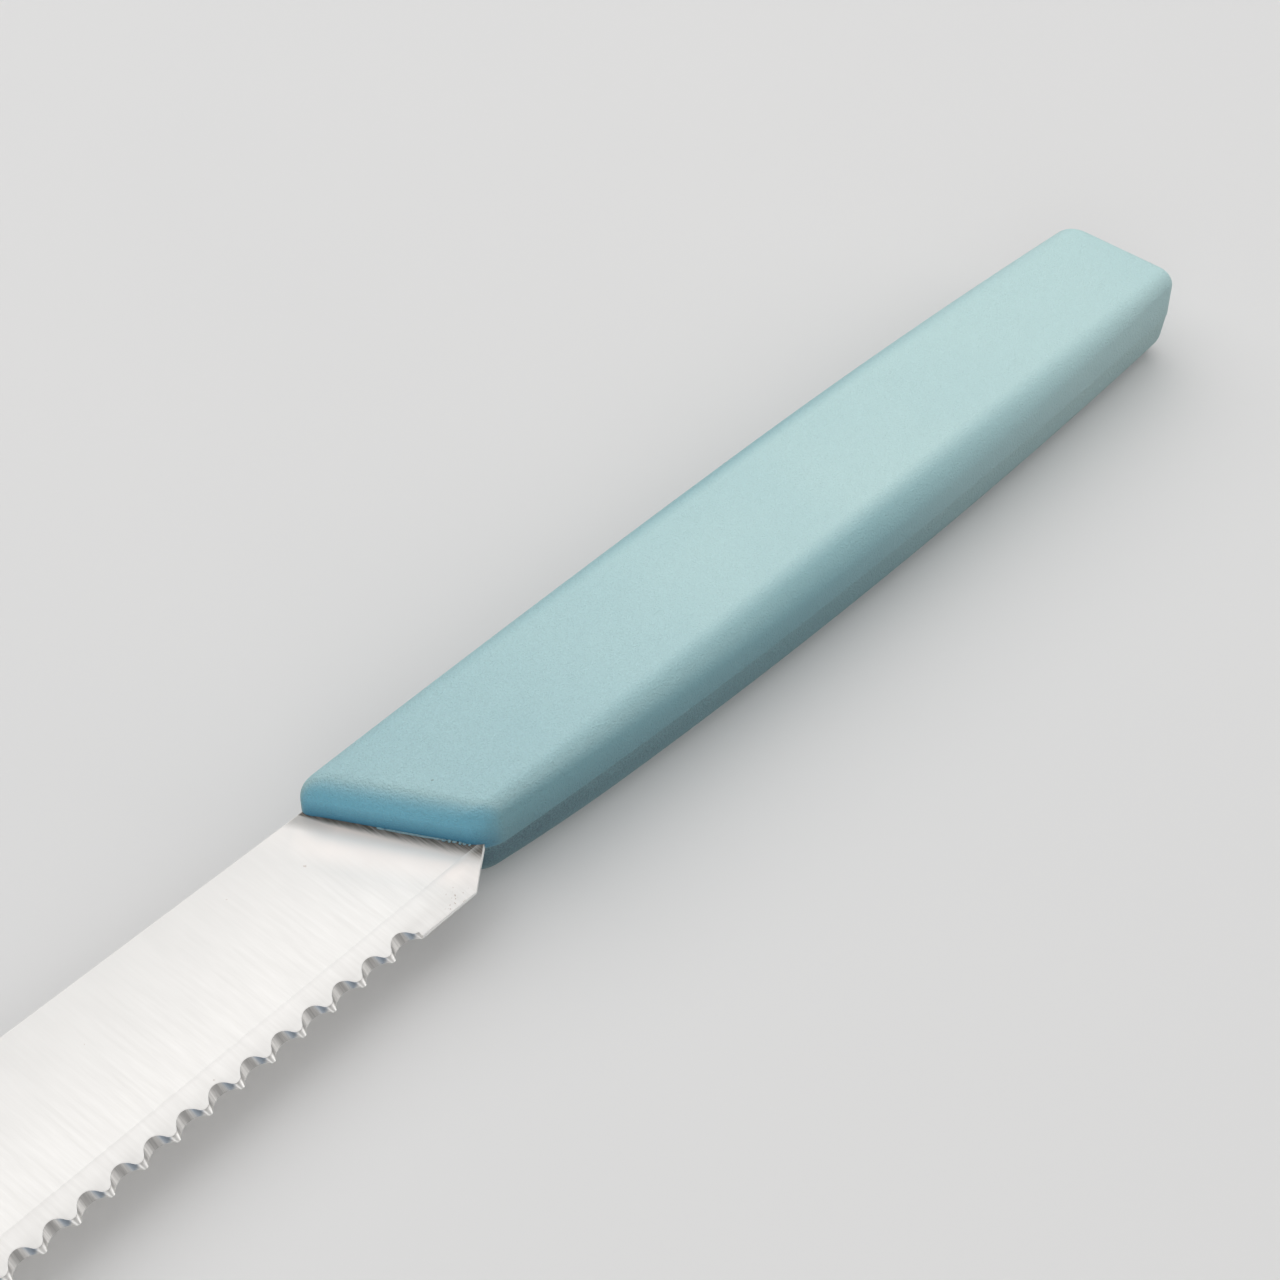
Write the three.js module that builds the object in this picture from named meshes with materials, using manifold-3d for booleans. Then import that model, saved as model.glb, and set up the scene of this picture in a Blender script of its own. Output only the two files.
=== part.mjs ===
// Table knife with a scalloped, round-tipped blade and a plastic handle moulded onto the tang.
// Millimetres. The knife lies on its side: X runs to the tip, Y to the cutting edge, Z up.
// While it is being shaped, X = 0 is the handle's front on the spine line, Y = 0 is the spine
// and Z = 0 is the middle of the blade. The last lines move it onto the table.
import * as THREE from 'three';
import { mergeVertices } from 'three/addons/utils/BufferGeometryUtils.js';
import Module from 'manifold-3d';

const wasm = await Module();
wasm.setup();

// Blade
const bladeLength = 110; // handle front to the end of the nose
const bladeWidth = 17.5; // spine to tooth tips at the handle front
const bladeFlare = 1.2; // degrees by which the edge leaves the spine
const bladeThickness = 1.2;
const bladeEdgeBreak = 0.12; // broken sharp edge all round the stamping
const noseLength = 24; // where the spine starts to turn down to the nose
const noseDrop = 13; // how far the nose lies below the spine
const noseEdgeLength = 7; // where the nose meets the cutting edge

// Cutting edge
const grindWidth = 3.4; // tapered band along the edge
const edgeThickness = 0.42; // at the tooth tips
const toothPitch = 3.4;
const toothDepth = 1.0;
const toothTipRound = 0.3; // rounded tip of each tooth, at the edge
const toothTopRound = 0.8; // the same, where the scallops run out on the upper face
const toothTrim = 0.03; // taken off the tips as the scallops are ground
const facetAngle = 42; // degrees between a ground scallop and the blade's face
const facetLean = 0.1; // share of the facet's run that leans to the tip
const facetRise = 0.7; // height of a ground scallop, edge to upper face
const heelFlat = 6.4; // plain edge between the heel corner and the first scallop
const heelAngle = 40; // degrees between the heel and the spine
const heelInset = 0.55; // heel root to the handle's lower front corner

// Tang, hidden in the handle
const tangReach = 72; // handle front to the tang's end
const tangWidth = 9;
const tangEndWidth = 7;
const seatDepth = 3; // full blade width goes this far into the handle
const tangHoleRadius = 2.25;
const tangHoleFirst = 28; // handle front to the first hole
const tangHoleSpacing = 30;
const tangHoles = 2;

// Handle
const handleLength = 108.4; // along the spine
const handleThickness = 11.7;
const handleWidth = 17.9; // at the widest point
const handleProud = 1.2; // above the blade's spine at the widest point
const swellFromFront = 57; // where the handle is widest
const spineFrontDrop = 0.72; // how much each side has come in at the front and at the butt
const spineButtDrop = 1.75;
const bellyFrontDrop = 2.55;
const bellyButtDrop = 1.65;
const frontSlant = 33.8; // degrees by which the front is cut back towards the belly
const buttSlant = 8;
const sideDraft = 3; // degrees by which the sides lean in from the parting line
const edgeRound = 2.7; // long edges
const bellyEdgeRound = 3.5; // the upper one on the belly, at the widest point
const edgeRoundShare = 0.7; // most of a section's half height that this rounding may take
const frontEdgeRound = 2.0; // how far the front's rounding runs back, and how far it drops
const frontEdgeDrop = 2.75;
const buttEdgeRound = 2;
const noseCornerRound = 1.65; // plan corners
const bellyCornerRound = 2;
const buttSpineCornerRound = 1.5;
const buttBellyCornerRound = 1.6;
const partingStep = 0.15; // step between the mould halves along the parting line
const bellyStep = 0.7; // how much wider it gets on the belly at the front
const bellyStepRun = 18; // and the length over which that fades out

// Fit of the moulding round the steel
const faceClearance = 0.05; // over the flat faces
const rimClearance = 0.3; // round the outline and in the holes

// Smoothness
const curveSteps = 14;
const scallopSteps = 5;
const edgeSteps = 7;
const endSteps = 8;
const bodySteps = 22;

const radians = THREE.MathUtils.degToRad;
const halfBlade = bladeThickness / 2;
const flareSlope = Math.tan(radians(bladeFlare));
const frontSlope = Math.tan(radians(frontSlant));
const buttSlope = Math.tan(radians(buttSlant));
const draftSlope = Math.tan(radians(sideDraft));
const frontEdgeRun = frontEdgeRound / Math.cos(radians(frontSlant));

// Cutting edge line, and the handle's two sides in plan
const edgeY = (x) => bladeWidth + flareSlope * x;
const bow = (x, frontDrop, buttDrop) => {
  const behind = -x - swellFromFront;
  return behind < 0
    ? frontDrop * (behind / swellFromFront) ** 2
    : buttDrop * (behind / (handleLength - swellFromFront)) ** 2;
};
const spineSideY = (x) => -handleProud + bow(x, spineFrontDrop, spineButtDrop);
const bellySideY = (x) => handleWidth - handleProud - bow(x, bellyFrontDrop, bellyButtDrop);

// The handle's corners in plan, each on its slanted end
const spineFrontX = -frontSlope * spineSideY(0);
const bellyFrontX = -frontSlope * bellySideY(-frontSlope * bellySideY(0));
const spineButtX = -handleLength - buttSlope * spineSideY(-handleLength);
const bellyButtX = -handleLength - buttSlope * bellySideY(-handleLength);

function solidFrom(geometry) {
  geometry.deleteAttribute('normal');
  geometry.deleteAttribute('uv');
  const merged = mergeVertices(geometry, 1e-4);
  return new wasm.Manifold(new wasm.Mesh({
    numProp: 3,
    vertProperties: new Float32Array(merged.attributes.position.array),
    triVerts: new Uint32Array(merged.index.array),
  }));
}

function geometryFrom(solid) {
  const mesh = solid.getMesh();
  const geometry = new THREE.BufferGeometry();
  geometry.setAttribute('position', new THREE.BufferAttribute(new Float32Array(mesh.vertProperties), 3));
  geometry.setIndex(new THREE.BufferAttribute(new Uint32Array(mesh.triVerts), 1));
  return geometry;
}

// Outline of the whole stamping: spine, nose, edge, heel, tang and its holes
function stampingOutline() {
  const heelRoot = new THREE.Vector2(bellyFrontX + heelInset * Math.sin(radians(frontSlant)),
    bellySideY(bellyFrontX) - heelInset * Math.cos(radians(frontSlant)));
  const heelSlope = Math.tan(radians(heelAngle));
  const heelX = heelRoot.x + (edgeY(heelRoot.x) - heelRoot.y) / (heelSlope - flareSlope);
  const tangY = handleWidth / 2 - handleProud;
  const tangTop = tangY - tangWidth / 2;
  const tangBottom = tangY + tangWidth / 2;
  const tangEndRadius = tangEndWidth / 2;
  const noseX = bladeLength;
  const round = 0.55; // pull of a Bezier handle that draws a quarter round

  const shape = new THREE.Shape();
  shape.moveTo(-seatDepth, 0);
  shape.lineTo(noseX - noseLength, 0);
  shape.bezierCurveTo(noseX - noseLength * (1 - round), 0, noseX, noseDrop * (1 - round), noseX, noseDrop);
  const turnX = noseX - noseEdgeLength;
  const noseRise = edgeY(turnX) - noseDrop;
  shape.bezierCurveTo(noseX, noseDrop + noseRise * round,
    turnX + noseEdgeLength * round, edgeY(turnX + noseEdgeLength * round), turnX, edgeY(turnX));
  shape.lineTo(heelX, edgeY(heelX));
  shape.lineTo(heelRoot.x, heelRoot.y);
  shape.lineTo(heelRoot.x - (heelRoot.y - tangBottom) / heelSlope, tangBottom);
  shape.lineTo(tangEndRadius - tangReach, tangY + tangEndRadius);
  shape.absarc(tangEndRadius - tangReach, tangY, tangEndRadius, Math.PI / 2, Math.PI * 1.5, false);
  shape.lineTo(-seatDepth - tangTop / heelSlope, tangTop);
  for (let hole = 0; hole < tangHoles; hole += 1) {
    const path = new THREE.Path();
    path.absarc(-tangHoleFirst - hole * tangHoleSpacing, tangY, tangHoleRadius, 0, Math.PI * 2, true);
    shape.holes.push(path);
  }
  return { shape, heelX, heelRoot };
}

// Tapered band ground along the edge: what the grind takes off the upper (1) or lower (-1) face
function grindCut(fromX, side) {
  const over = 2; // reaches past the edge and the face
  const fall = (halfBlade - edgeThickness / 2) / grindWidth;
  const profile = new THREE.Shape([
    new THREE.Vector2(-grindWidth, side * halfBlade),
    new THREE.Vector2(over, side * (halfBlade - fall * (grindWidth + over))),
    new THREE.Vector2(over, side * (halfBlade + over)),
    new THREE.Vector2(-grindWidth, side * (halfBlade + over)),
  ]);
  const run = bladeLength - fromX + over * 2;
  const geometry = new THREE.ExtrudeGeometry(profile, { depth: run, bevelEnabled: false });
  const along = new THREE.Matrix4().makeBasis(
    new THREE.Vector3(0, 1, 0), new THREE.Vector3(0, 0, 1), new THREE.Vector3(1, 0, 0));
  const onEdge = new THREE.Matrix4().makeTranslation(fromX - over, edgeY(fromX - over), 0)
    .multiply(new THREE.Matrix4().makeRotationZ(radians(bladeFlare)));
  return geometry.applyMatrix4(onEdge.multiply(along));
}

// Line of the toothed edge seen from above, tips at Y = 0: round tips with round hollows between them
function toothLine(teeth, tipRound) {
  const half = toothPitch / 2;
  const reach = (half * half + toothDepth * toothDepth) / (2 * toothDepth); // both rounds together
  const hollowRound = reach - tipRound;
  const turn = Math.atan2(reach - toothDepth, half); // where a tip runs into a hollow
  const up = Math.PI / 2;
  const arc = (x, y, radius, from, to, clockwise) => {
    const curve = new THREE.EllipseCurve(x, y, radius, radius, from, to, clockwise);
    return curve.getPoints(scallopSteps).slice(1);
  };
  const line = [new THREE.Vector2(0, 0)];
  for (let tooth = 0; tooth < teeth; tooth += 1) {
    const x = tooth * toothPitch;
    line.push(...arc(x, -tipRound, tipRound, up, turn, true));
    line.push(...arc(x + half, hollowRound - toothDepth, hollowRound, Math.PI + turn, -turn, false));
    line.push(...arc(x + toothPitch, -tipRound, tipRound, Math.PI - turn, up, true));
  }
  return line;
}

// What the formed wheel takes off: the toothed line leans back as it rises, and its tips grow rounder
function scallopCut(fromX, teeth) {
  const over = 3; // reaches past the edge
  const level = (z) => {
    const above = z + edgeThickness / 2;
    const run = above / Math.tan(radians(facetAngle));
    const tipRound = THREE.MathUtils.lerp(toothTipRound, toothTopRound, above / facetRise);
    const line = toothLine(teeth, tipRound);
    line.push(new THREE.Vector2(teeth * toothPitch, over), new THREE.Vector2(0, over));
    return line.map((point) => new THREE.Vector3(point.x + facetLean * run, point.y - toothTrim - run, z));
  };
  const lower = level(-edgeThickness);
  const upper = level(bladeThickness);
  const size = lower.length;
  const index = [];
  for (let side = 0; side < size; side += 1) {
    const next = (side + 1) % size;
    index.push(side, next, size + next, side, size + next, size + side);
  }
  for (const [a, b, c] of THREE.ShapeUtils.triangulateShape(lower, [])) {
    index.push(a, c, b);
  }
  for (const [a, b, c] of THREE.ShapeUtils.triangulateShape(upper, [])) {
    index.push(size + a, size + b, size + c);
  }
  const geometry = new THREE.BufferGeometry().setFromPoints([...lower, ...upper]);
  geometry.setIndex(index);
  return geometry.rotateZ(radians(bladeFlare)).translate(fromX, edgeY(fromX), 0);
}

function bladeSolid() {
  const { shape, heelX, heelRoot } = stampingOutline();
  const plate = new THREE.ExtrudeGeometry(shape, {
    depth: bladeThickness - 2 * bladeEdgeBreak,
    curveSegments: curveSteps,
    bevelEnabled: true,
    bevelThickness: bladeEdgeBreak,
    bevelSize: bladeEdgeBreak,
    bevelOffset: -bladeEdgeBreak,
    bevelSegments: 1,
  });
  plate.translate(0, 0, bladeEdgeBreak - halfBlade);
  let solid = solidFrom(plate);
  for (const side of [1, -1]) {
    solid = solid.subtract(solidFrom(grindCut(heelRoot.x, side)));
  }
  const firstX = heelX + heelFlat;
  const lastX = bladeLength - noseEdgeLength;
  const scallops = Math.floor((lastX - firstX) / toothPitch);
  return solid.subtract(solidFrom(scallopCut(firstX, scallops)));
}

// How far a rounded end has come in at some distance from it
function roundOff(distance, run, rise) {
  return distance < run ? rise * (1 - Math.sqrt(1 - (1 - distance / run) ** 2)) : 0;
}

// Distances from the front at which the handle's section is drawn, close together at both ends
function handleStations() {
  const frontRun = Math.max(noseCornerRound, bellyCornerRound, frontEdgeRun);
  const buttRun = Math.max(buttSpineCornerRound, buttBellyCornerRound, buttEdgeRound);
  const stations = [];
  for (let step = 0; step < endSteps; step += 1) {
    stations.push(frontRun * (1 - Math.cos(step / endSteps * Math.PI / 2)));
  }
  for (let step = 0; step <= bodySteps; step += 1) {
    stations.push(frontRun + (handleLength - frontRun - buttRun) * step / bodySteps);
  }
  for (let step = endSteps - 1; step >= 0; step -= 1) {
    stations.push(handleLength - buttRun * (1 - Math.cos(step / endSteps * Math.PI / 2)));
  }
  return stations;
}

// One side of a section, from the parting line round the long edge: inset and height pairs
function sideProfile(halfHeight, longRound) {
  const round = Math.min(longRound, halfHeight * edgeRoundShare);
  const draft = radians(sideDraft);
  const centreZ = halfHeight - round;
  const centreIn = draftSlope * (centreZ + round * Math.sin(draft)) + round * Math.cos(draft);
  const points = [[0, 0]];
  for (let step = 0; step <= edgeSteps; step += 1) {
    const turn = draft + (Math.PI / 2 - draft) * step / edgeSteps;
    points.push([centreIn - round * Math.cos(turn), centreZ + round * Math.sin(turn)]);
  }
  return points;
}

// One mould half's two sides at a station. The lower half stands back a little all round,
// and more on the belly by the front.
function handleHalf(distance, upper) {
  const standBack = upper ? 0 : partingStep;
  const bellyBack = upper ? 0 : bellyStep * Math.max(0, 1 - distance / bellyStepRun) ** 2;
  const share = distance / handleLength;
  const toButt = handleLength - distance;
  const spineX = THREE.MathUtils.lerp(spineFrontX, spineButtX, share);
  const bellyX = THREE.MathUtils.lerp(bellyFrontX, bellyButtX, share);
  const shift = standBack * (2 * share - 1);
  const spine = new THREE.Vector2(spineX + shift, spineSideY(spineX));
  const belly = new THREE.Vector2(bellyX + shift, bellySideY(bellyX));
  const across = belly.clone().sub(spine).normalize();
  spine.addScaledVector(across, standBack + roundOff(distance, noseCornerRound, noseCornerRound)
    + roundOff(toButt, buttSpineCornerRound, buttSpineCornerRound));
  belly.addScaledVector(across, -standBack - bellyBack
    - roundOff(distance, bellyCornerRound, bellyCornerRound)
    - roundOff(toButt, buttBellyCornerRound, buttBellyCornerRound));
  const halfHeight = handleThickness / 2 - roundOff(distance, frontEdgeRun, frontEdgeDrop)
    - roundOff(toButt, buttEdgeRound, buttEdgeRound);
  // as the belly swells this rounding grows with it, and the top's flat keeps a straight edge
  const bellyRound = upper ? bellyEdgeRound - bow(bellyX, bellyFrontDrop, bellyButtDrop) : edgeRound;
  const place = (side, inward, longRound) => sideProfile(halfHeight, longRound).map(([inset, height]) => {
    const point = side.clone().addScaledVector(inward, inset);
    return new THREE.Vector3(point.x, point.y, height);
  });
  return { belly: place(belly, across.clone().negate(), bellyRound), spine: place(spine, across, edgeRound) };
}

// The ring of points round the handle at one station: over the top and back underneath
function handleRing(distance) {
  const upper = handleHalf(distance, true);
  const lower = handleHalf(distance, false);
  const turnUnder = (point) => point.setZ(-point.z);
  return [...upper.belly, ...upper.spine.reverse(),
    ...lower.spine.map(turnUnder), ...lower.belly.map(turnUnder).reverse()];
}

// Skin of the handle: strips between the rings, closed by the front and butt walls
function handleGeometry() {
  const rings = handleStations().map(handleRing);
  const size = rings[0].length;
  const levels = size / 4;
  const index = [];
  const quad = (a, b, c, d) => index.push(a, c, b, a, d, c);
  for (let ring = 0; ring + 1 < rings.length; ring += 1) {
    const here = ring * size;
    for (let side = 0; side < size; side += 1) {
      const next = (side + 1) % size;
      quad(here + side, here + next, here + size + next, here + size + side);
    }
  }
  const endWall = (first, faceButt) => {
    const belly = (row) => first + (levels - 1 - row + size) % size;
    const spine = (row) => first + levels + row;
    for (let row = 0; row + 1 < 2 * levels; row += 1) {
      const corners = [belly(row), belly(row + 1), spine(row + 1), spine(row)];
      quad(...(faceButt ? corners.reverse() : corners));
    }
  };
  endWall(0, false);
  endWall((rings.length - 1) * size, true);
  const geometry = new THREE.BufferGeometry().setFromPoints(rings.flat());
  geometry.setIndex(index);
  return geometry;
}

// The hollow that the steel leaves in the moulding: the stamping grown by the clearances
function tangHollow() {
  const geometry = new THREE.ExtrudeGeometry(stampingOutline().shape, {
    depth: bladeThickness + 2 * faceClearance,
    curveSegments: curveSteps,
    bevelEnabled: true,
    bevelThickness: 0,
    bevelSize: 0,
    bevelOffset: rimClearance,
    bevelSegments: 0,
  });
  return geometry.translate(0, 0, -halfBlade - faceClearance);
}

const steel = new THREE.MeshStandardMaterial({ color: 0xd9d7d3, roughness: 0.28, metalness: 1 });
const plastic = new THREE.MeshStandardMaterial({ color: 0x9fc9d2, roughness: 0.55, metalness: 0 });

const blade = new THREE.Mesh(geometryFrom(bladeSolid()), steel);
blade.name = 'blade';
const handle = new THREE.Mesh(
  geometryFrom(solidFrom(handleGeometry()).subtract(solidFrom(tangHollow()))), plastic);
handle.name = 'handle';

// Laid on the table: lowest face at Z = 0, middle of the knife over the origin
const knife = new THREE.Group();
knife.name = 'table_knife';
knife.add(blade, handle);
const box = new THREE.Box3().setFromObject(knife);
const middle = box.getCenter(new THREE.Vector3());
knife.position.set(-middle.x, -middle.y, -box.min.z);

export default knife;
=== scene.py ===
import math

import bmesh
import bpy
from mathutils import Matrix, Vector, noise
from mathutils.geometry import interpolate_bezier


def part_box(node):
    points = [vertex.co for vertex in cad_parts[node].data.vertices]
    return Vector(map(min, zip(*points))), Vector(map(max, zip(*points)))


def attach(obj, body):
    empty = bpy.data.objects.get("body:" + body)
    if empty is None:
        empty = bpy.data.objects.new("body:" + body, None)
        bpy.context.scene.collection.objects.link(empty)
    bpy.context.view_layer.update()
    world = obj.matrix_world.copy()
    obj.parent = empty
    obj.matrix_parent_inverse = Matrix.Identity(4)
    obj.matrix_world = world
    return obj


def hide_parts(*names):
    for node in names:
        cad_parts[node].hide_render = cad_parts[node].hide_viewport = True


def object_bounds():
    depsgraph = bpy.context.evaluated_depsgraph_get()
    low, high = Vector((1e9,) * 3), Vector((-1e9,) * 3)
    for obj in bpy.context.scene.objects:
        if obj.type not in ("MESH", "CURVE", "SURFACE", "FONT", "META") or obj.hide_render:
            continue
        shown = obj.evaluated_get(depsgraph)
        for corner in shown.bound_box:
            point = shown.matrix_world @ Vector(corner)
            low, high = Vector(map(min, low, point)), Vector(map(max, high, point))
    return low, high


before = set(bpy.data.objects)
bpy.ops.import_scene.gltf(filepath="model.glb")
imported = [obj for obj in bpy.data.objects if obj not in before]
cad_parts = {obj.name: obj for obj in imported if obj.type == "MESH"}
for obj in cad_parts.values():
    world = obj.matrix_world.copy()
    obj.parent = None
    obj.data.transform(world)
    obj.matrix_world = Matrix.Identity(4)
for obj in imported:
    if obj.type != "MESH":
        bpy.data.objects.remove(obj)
cadLow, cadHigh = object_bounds()
bladeLow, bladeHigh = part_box("blade")
handleLow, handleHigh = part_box("handle")
mm = 0.001
print("frame loaded:", ", ".join(sorted(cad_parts)))


# small helpers

def addPiece(name, bm, *materials):
    mesh = bpy.data.meshes.new(name)
    bm.to_mesh(mesh)
    bm.free()
    piece = bpy.data.objects.new(name, mesh)
    bpy.context.scene.collection.objects.link(piece)
    for material in materials:
        mesh.materials.append(material)
    return piece


def flatFace(bm, points):
    return bm.faces.new([bm.verts.new((x, y, 0)) for x, y in points])


def roundCorners(bm, corners, radius, steps):
    # rounds corners of a flat outline
    for corner in corners:
        nearest = min(bm.verts, key=lambda vert: (vert.co.xy - Vector(corner)).length)
        bmesh.ops.bevel(bm, geom=[nearest], offset=radius, segments=steps, profile=0.5,
                        affect="VERTICES", material=-1)
    bm.faces.ensure_lookup_table()
    face = bm.faces[0]
    face.normal_update()
    if face.normal.z < 0:
        face.normal_flip()
    return face


def inwardWays(places):
    # plan directions that point into the outline, long enough to keep its sides parallel
    count = len(places)
    area = sum(places[i - 1].xy.cross(places[i].xy) for i in range(count))
    left = Matrix.Rotation(math.copysign(math.pi / 2, area), 3, "Z")
    ways = []
    for i in range(count):
        before = left @ (places[i] - places[i - 1]).normalized()
        after = left @ (places[(i + 1) % count] - places[i]).normalized()
        way = (before + after).normalized()
        ways.append(way / max(0.5, way.dot(before)))   # no longer than twice at sharp corners
    return ways


def placeInFrame(bm):
    # from mm about the datum to the frame
    bmesh.ops.scale(bm, vec=(mm, mm, mm), verts=bm.verts)
    bmesh.ops.translate(bm, vec=datum, verts=bm.verts)


def cutWith(piece, cutters):
    # boolean cuts, applied to the mesh; the cutter's material goes with the cut
    for cutter in cutters:
        cut = piece.modifiers.new(cutter.name, "BOOLEAN")
        cut.operation = "DIFFERENCE"
        cut.solver = "EXACT"
        cut.material_mode = "TRANSFER"
        cut.object = cutter
    depsgraph = bpy.context.evaluated_depsgraph_get()
    done = bpy.data.meshes.new_from_object(piece.evaluated_get(depsgraph))
    piece.modifiers.clear()
    old = piece.data
    piece.data = done
    done.name = piece.name
    bpy.data.meshes.remove(old)
    for cutter in cutters:
        bpy.data.meshes.remove(cutter.data)


def softShade(piece, degrees):
    for polygon in piece.data.polygons:
        polygon.use_smooth = True
    piece.data.set_sharp_from_angle(angle=math.radians(degrees))


# material helpers

noiseSpan = (0.3, 0.7)   # where most values of a noise texture lie


def addNode(tree, kind, values=None, **settings):
    node = tree.nodes.new(kind)
    for key, value in settings.items():
        setattr(node, key, value)
    for key, value in (values or {}).items():
        node.inputs[key].default_value = value
    return node


def startMaterial(name):
    material = bpy.data.materials.new(name)
    material.use_nodes = True
    tree = material.node_tree
    shader = tree.nodes["Principled BSDF"]
    coords = addNode(tree, "ShaderNodeTexCoord").outputs["Object"]
    return material, tree, shader, coords


def mixColour(tree, mask, first, second, blend="MIX"):
    # first and second are colours or sockets
    node = addNode(tree, "ShaderNodeMix", data_type="RGBA", blend_type=blend)
    tree.links.new(mask, node.inputs[0])
    for socket, value in ((node.inputs[6], first), (node.inputs[7], second)):
        if isinstance(value, bpy.types.NodeSocket):
            tree.links.new(value, socket)
        else:
            socket.default_value = (*value, 1)
    return node.outputs[2]


def remap(tree, value, low, high, toLow, toHigh, smooth=False):
    node = addNode(tree, "ShaderNodeMapRange", {1: low, 2: high, 3: toLow, 4: toHigh},
                   interpolation_type="SMOOTHSTEP" if smooth else "LINEAR")
    tree.links.new(value, node.inputs[0])
    return node.outputs[0]


def fade(tree, length, start, end, atStart, atEnd, smooth=False):
    # remap of a length, from start to end in mm
    return remap(tree, length, start * mm, end * mm, atStart, atEnd, smooth)


def combine(tree, first, second, operation="ADD"):
    node = addNode(tree, "ShaderNodeMath", operation=operation)
    for socket, value in ((node.inputs[0], first), (node.inputs[1], second)):
        if isinstance(value, (int, float)):
            socket.default_value = value
        else:
            tree.links.new(value, socket)
    return node.outputs[0]


def product(tree, first, second):
    return combine(tree, first, second, "MULTIPLY")


def greyOf(tree, value):
    node = addNode(tree, "ShaderNodeCombineColor")
    for socket in node.inputs:
        tree.links.new(value, socket)
    return node.outputs[0]


def wayFrom(tree, vector, start, way):
    # how far a vector goes along a way, measured from a start
    node = addNode(tree, "ShaderNodeVectorMath", operation="SUBTRACT")
    tree.links.new(vector, node.inputs[0])
    node.inputs[1].default_value = start
    along = addNode(tree, "ShaderNodeVectorMath", operation="DOT_PRODUCT")
    tree.links.new(node.outputs[0], along.inputs[0])
    along.inputs[1].default_value = way
    return along.outputs["Value"]


def facingOf(tree):
    # the parts of the surface's normal
    facing = addNode(tree, "ShaderNodeSeparateXYZ")
    tree.links.new(addNode(tree, "ShaderNodeNewGeometry").outputs["Normal"], facing.inputs[0])
    return facing.outputs


def bumpFrom(tree, height, strength, distance):
    node = addNode(tree, "ShaderNodeBump", {"Strength": strength, "Distance": distance})
    tree.links.new(height, node.inputs["Height"])
    return node.outputs["Normal"]


def noiseAt(tree, coords, scale, detail=3.0, roughness=0.5):
    node = addNode(tree, "ShaderNodeTexNoise",
                   {"Scale": scale, "Detail": detail, "Roughness": roughness})
    tree.links.new(coords, node.inputs["Vector"])
    return node.outputs[0]


def startGroup(name, inputs, outputs):
    group = bpy.data.node_groups.new(name, "ShaderNodeTree")
    for label, kind, value in inputs:
        socket = group.interface.new_socket(label, in_out="INPUT", socket_type=kind)
        if value is not None:
            socket.default_value = value
    for label in outputs:
        group.interface.new_socket(label, in_out="OUTPUT", socket_type="NodeSocketFloat")
    return group, group.nodes.new("NodeGroupInput"), group.nodes.new("NodeGroupOutput")


def useGroup(tree, group, coords, **values):
    node = tree.nodes.new("ShaderNodeGroup")
    node.node_tree = group
    tree.links.new(coords, node.inputs["Vector"])
    for key, value in values.items():
        node.inputs[key].default_value = value
    return node.outputs


def makeGrindLines():
    # fine parallel lines along Y: Across and Along are how often they change per metre
    group, inside, outside = startGroup(
        "grindLines",
        [("Vector", "NodeSocketVector", None), ("Across", "NodeSocketFloat", 5000.0),
         ("Along", "NodeSocketFloat", 60.0)],
        ["Fine", "Broad"])
    for label, share in (("Fine", 1.0), ("Broad", 0.16)):
        across = product(group, inside.outputs["Across"], share)
        spread = addNode(group, "ShaderNodeCombineXYZ")
        group.links.new(across, spread.inputs[0])
        group.links.new(inside.outputs["Along"], spread.inputs[1])
        group.links.new(inside.outputs["Along"], spread.inputs[2])
        scaled = addNode(group, "ShaderNodeVectorMath", operation="MULTIPLY")
        group.links.new(inside.outputs["Vector"], scaled.inputs[0])
        group.links.new(spread.outputs[0], scaled.inputs[1])
        lines = noiseAt(group, scaled.outputs[0], 1.0, 3.0, 0.6)
        group.links.new(lines, outside.inputs[label])
    return group


def makeStrayMarks():
    # a few small uneven specks: Cells per metre, Size in cells, Share of the cells that hold one
    group, inside, outside = startGroup(
        "strayMarks",
        [("Vector", "NodeSocketVector", None), ("Cells", "NodeSocketFloat", 300.0),
         ("Size", "NodeSocketFloat", 0.05), ("Share", "NodeSocketFloat", 0.1)],
        ["Mask"])
    waves, pull, solid = 3500.0, 0.4 * mm, 0.6   # unevenness of the outline, share of a speck that is solid
    uneven = addNode(group, "ShaderNodeTexNoise", {"Scale": waves, "Detail": 2.0})
    group.links.new(inside.outputs["Vector"], uneven.inputs["Vector"])
    pulled = addNode(group, "ShaderNodeVectorMath", {1: (pull, pull, pull)}, operation="MULTIPLY_ADD")
    group.links.new(uneven.outputs["Color"], pulled.inputs[0])
    group.links.new(inside.outputs["Vector"], pulled.inputs[2])
    cells = addNode(group, "ShaderNodeTexVoronoi")
    group.links.new(pulled.outputs[0], cells.inputs["Vector"])
    group.links.new(inside.outputs["Cells"], cells.inputs["Scale"])
    near = combine(group, cells.outputs["Distance"], inside.outputs["Size"], "DIVIDE")
    speck = remap(group, near, solid, 1.0, 1.0, 0.0, True)
    pick = addNode(group, "ShaderNodeSeparateColor")
    group.links.new(cells.outputs["Color"], pick.inputs[0])
    chosen = combine(group, pick.outputs[0], inside.outputs["Share"], "LESS_THAN")
    group.links.new(product(group, speck, chosen), outside.inputs["Mask"])
    return group


grindLines = makeGrindLines()
strayMarks = makeStrayMarks()
print("effects made:", grindLines.name, strayMarks.name)


# blade, one stamping with its tang; lengths in mm from the handle's front on the spine line

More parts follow.
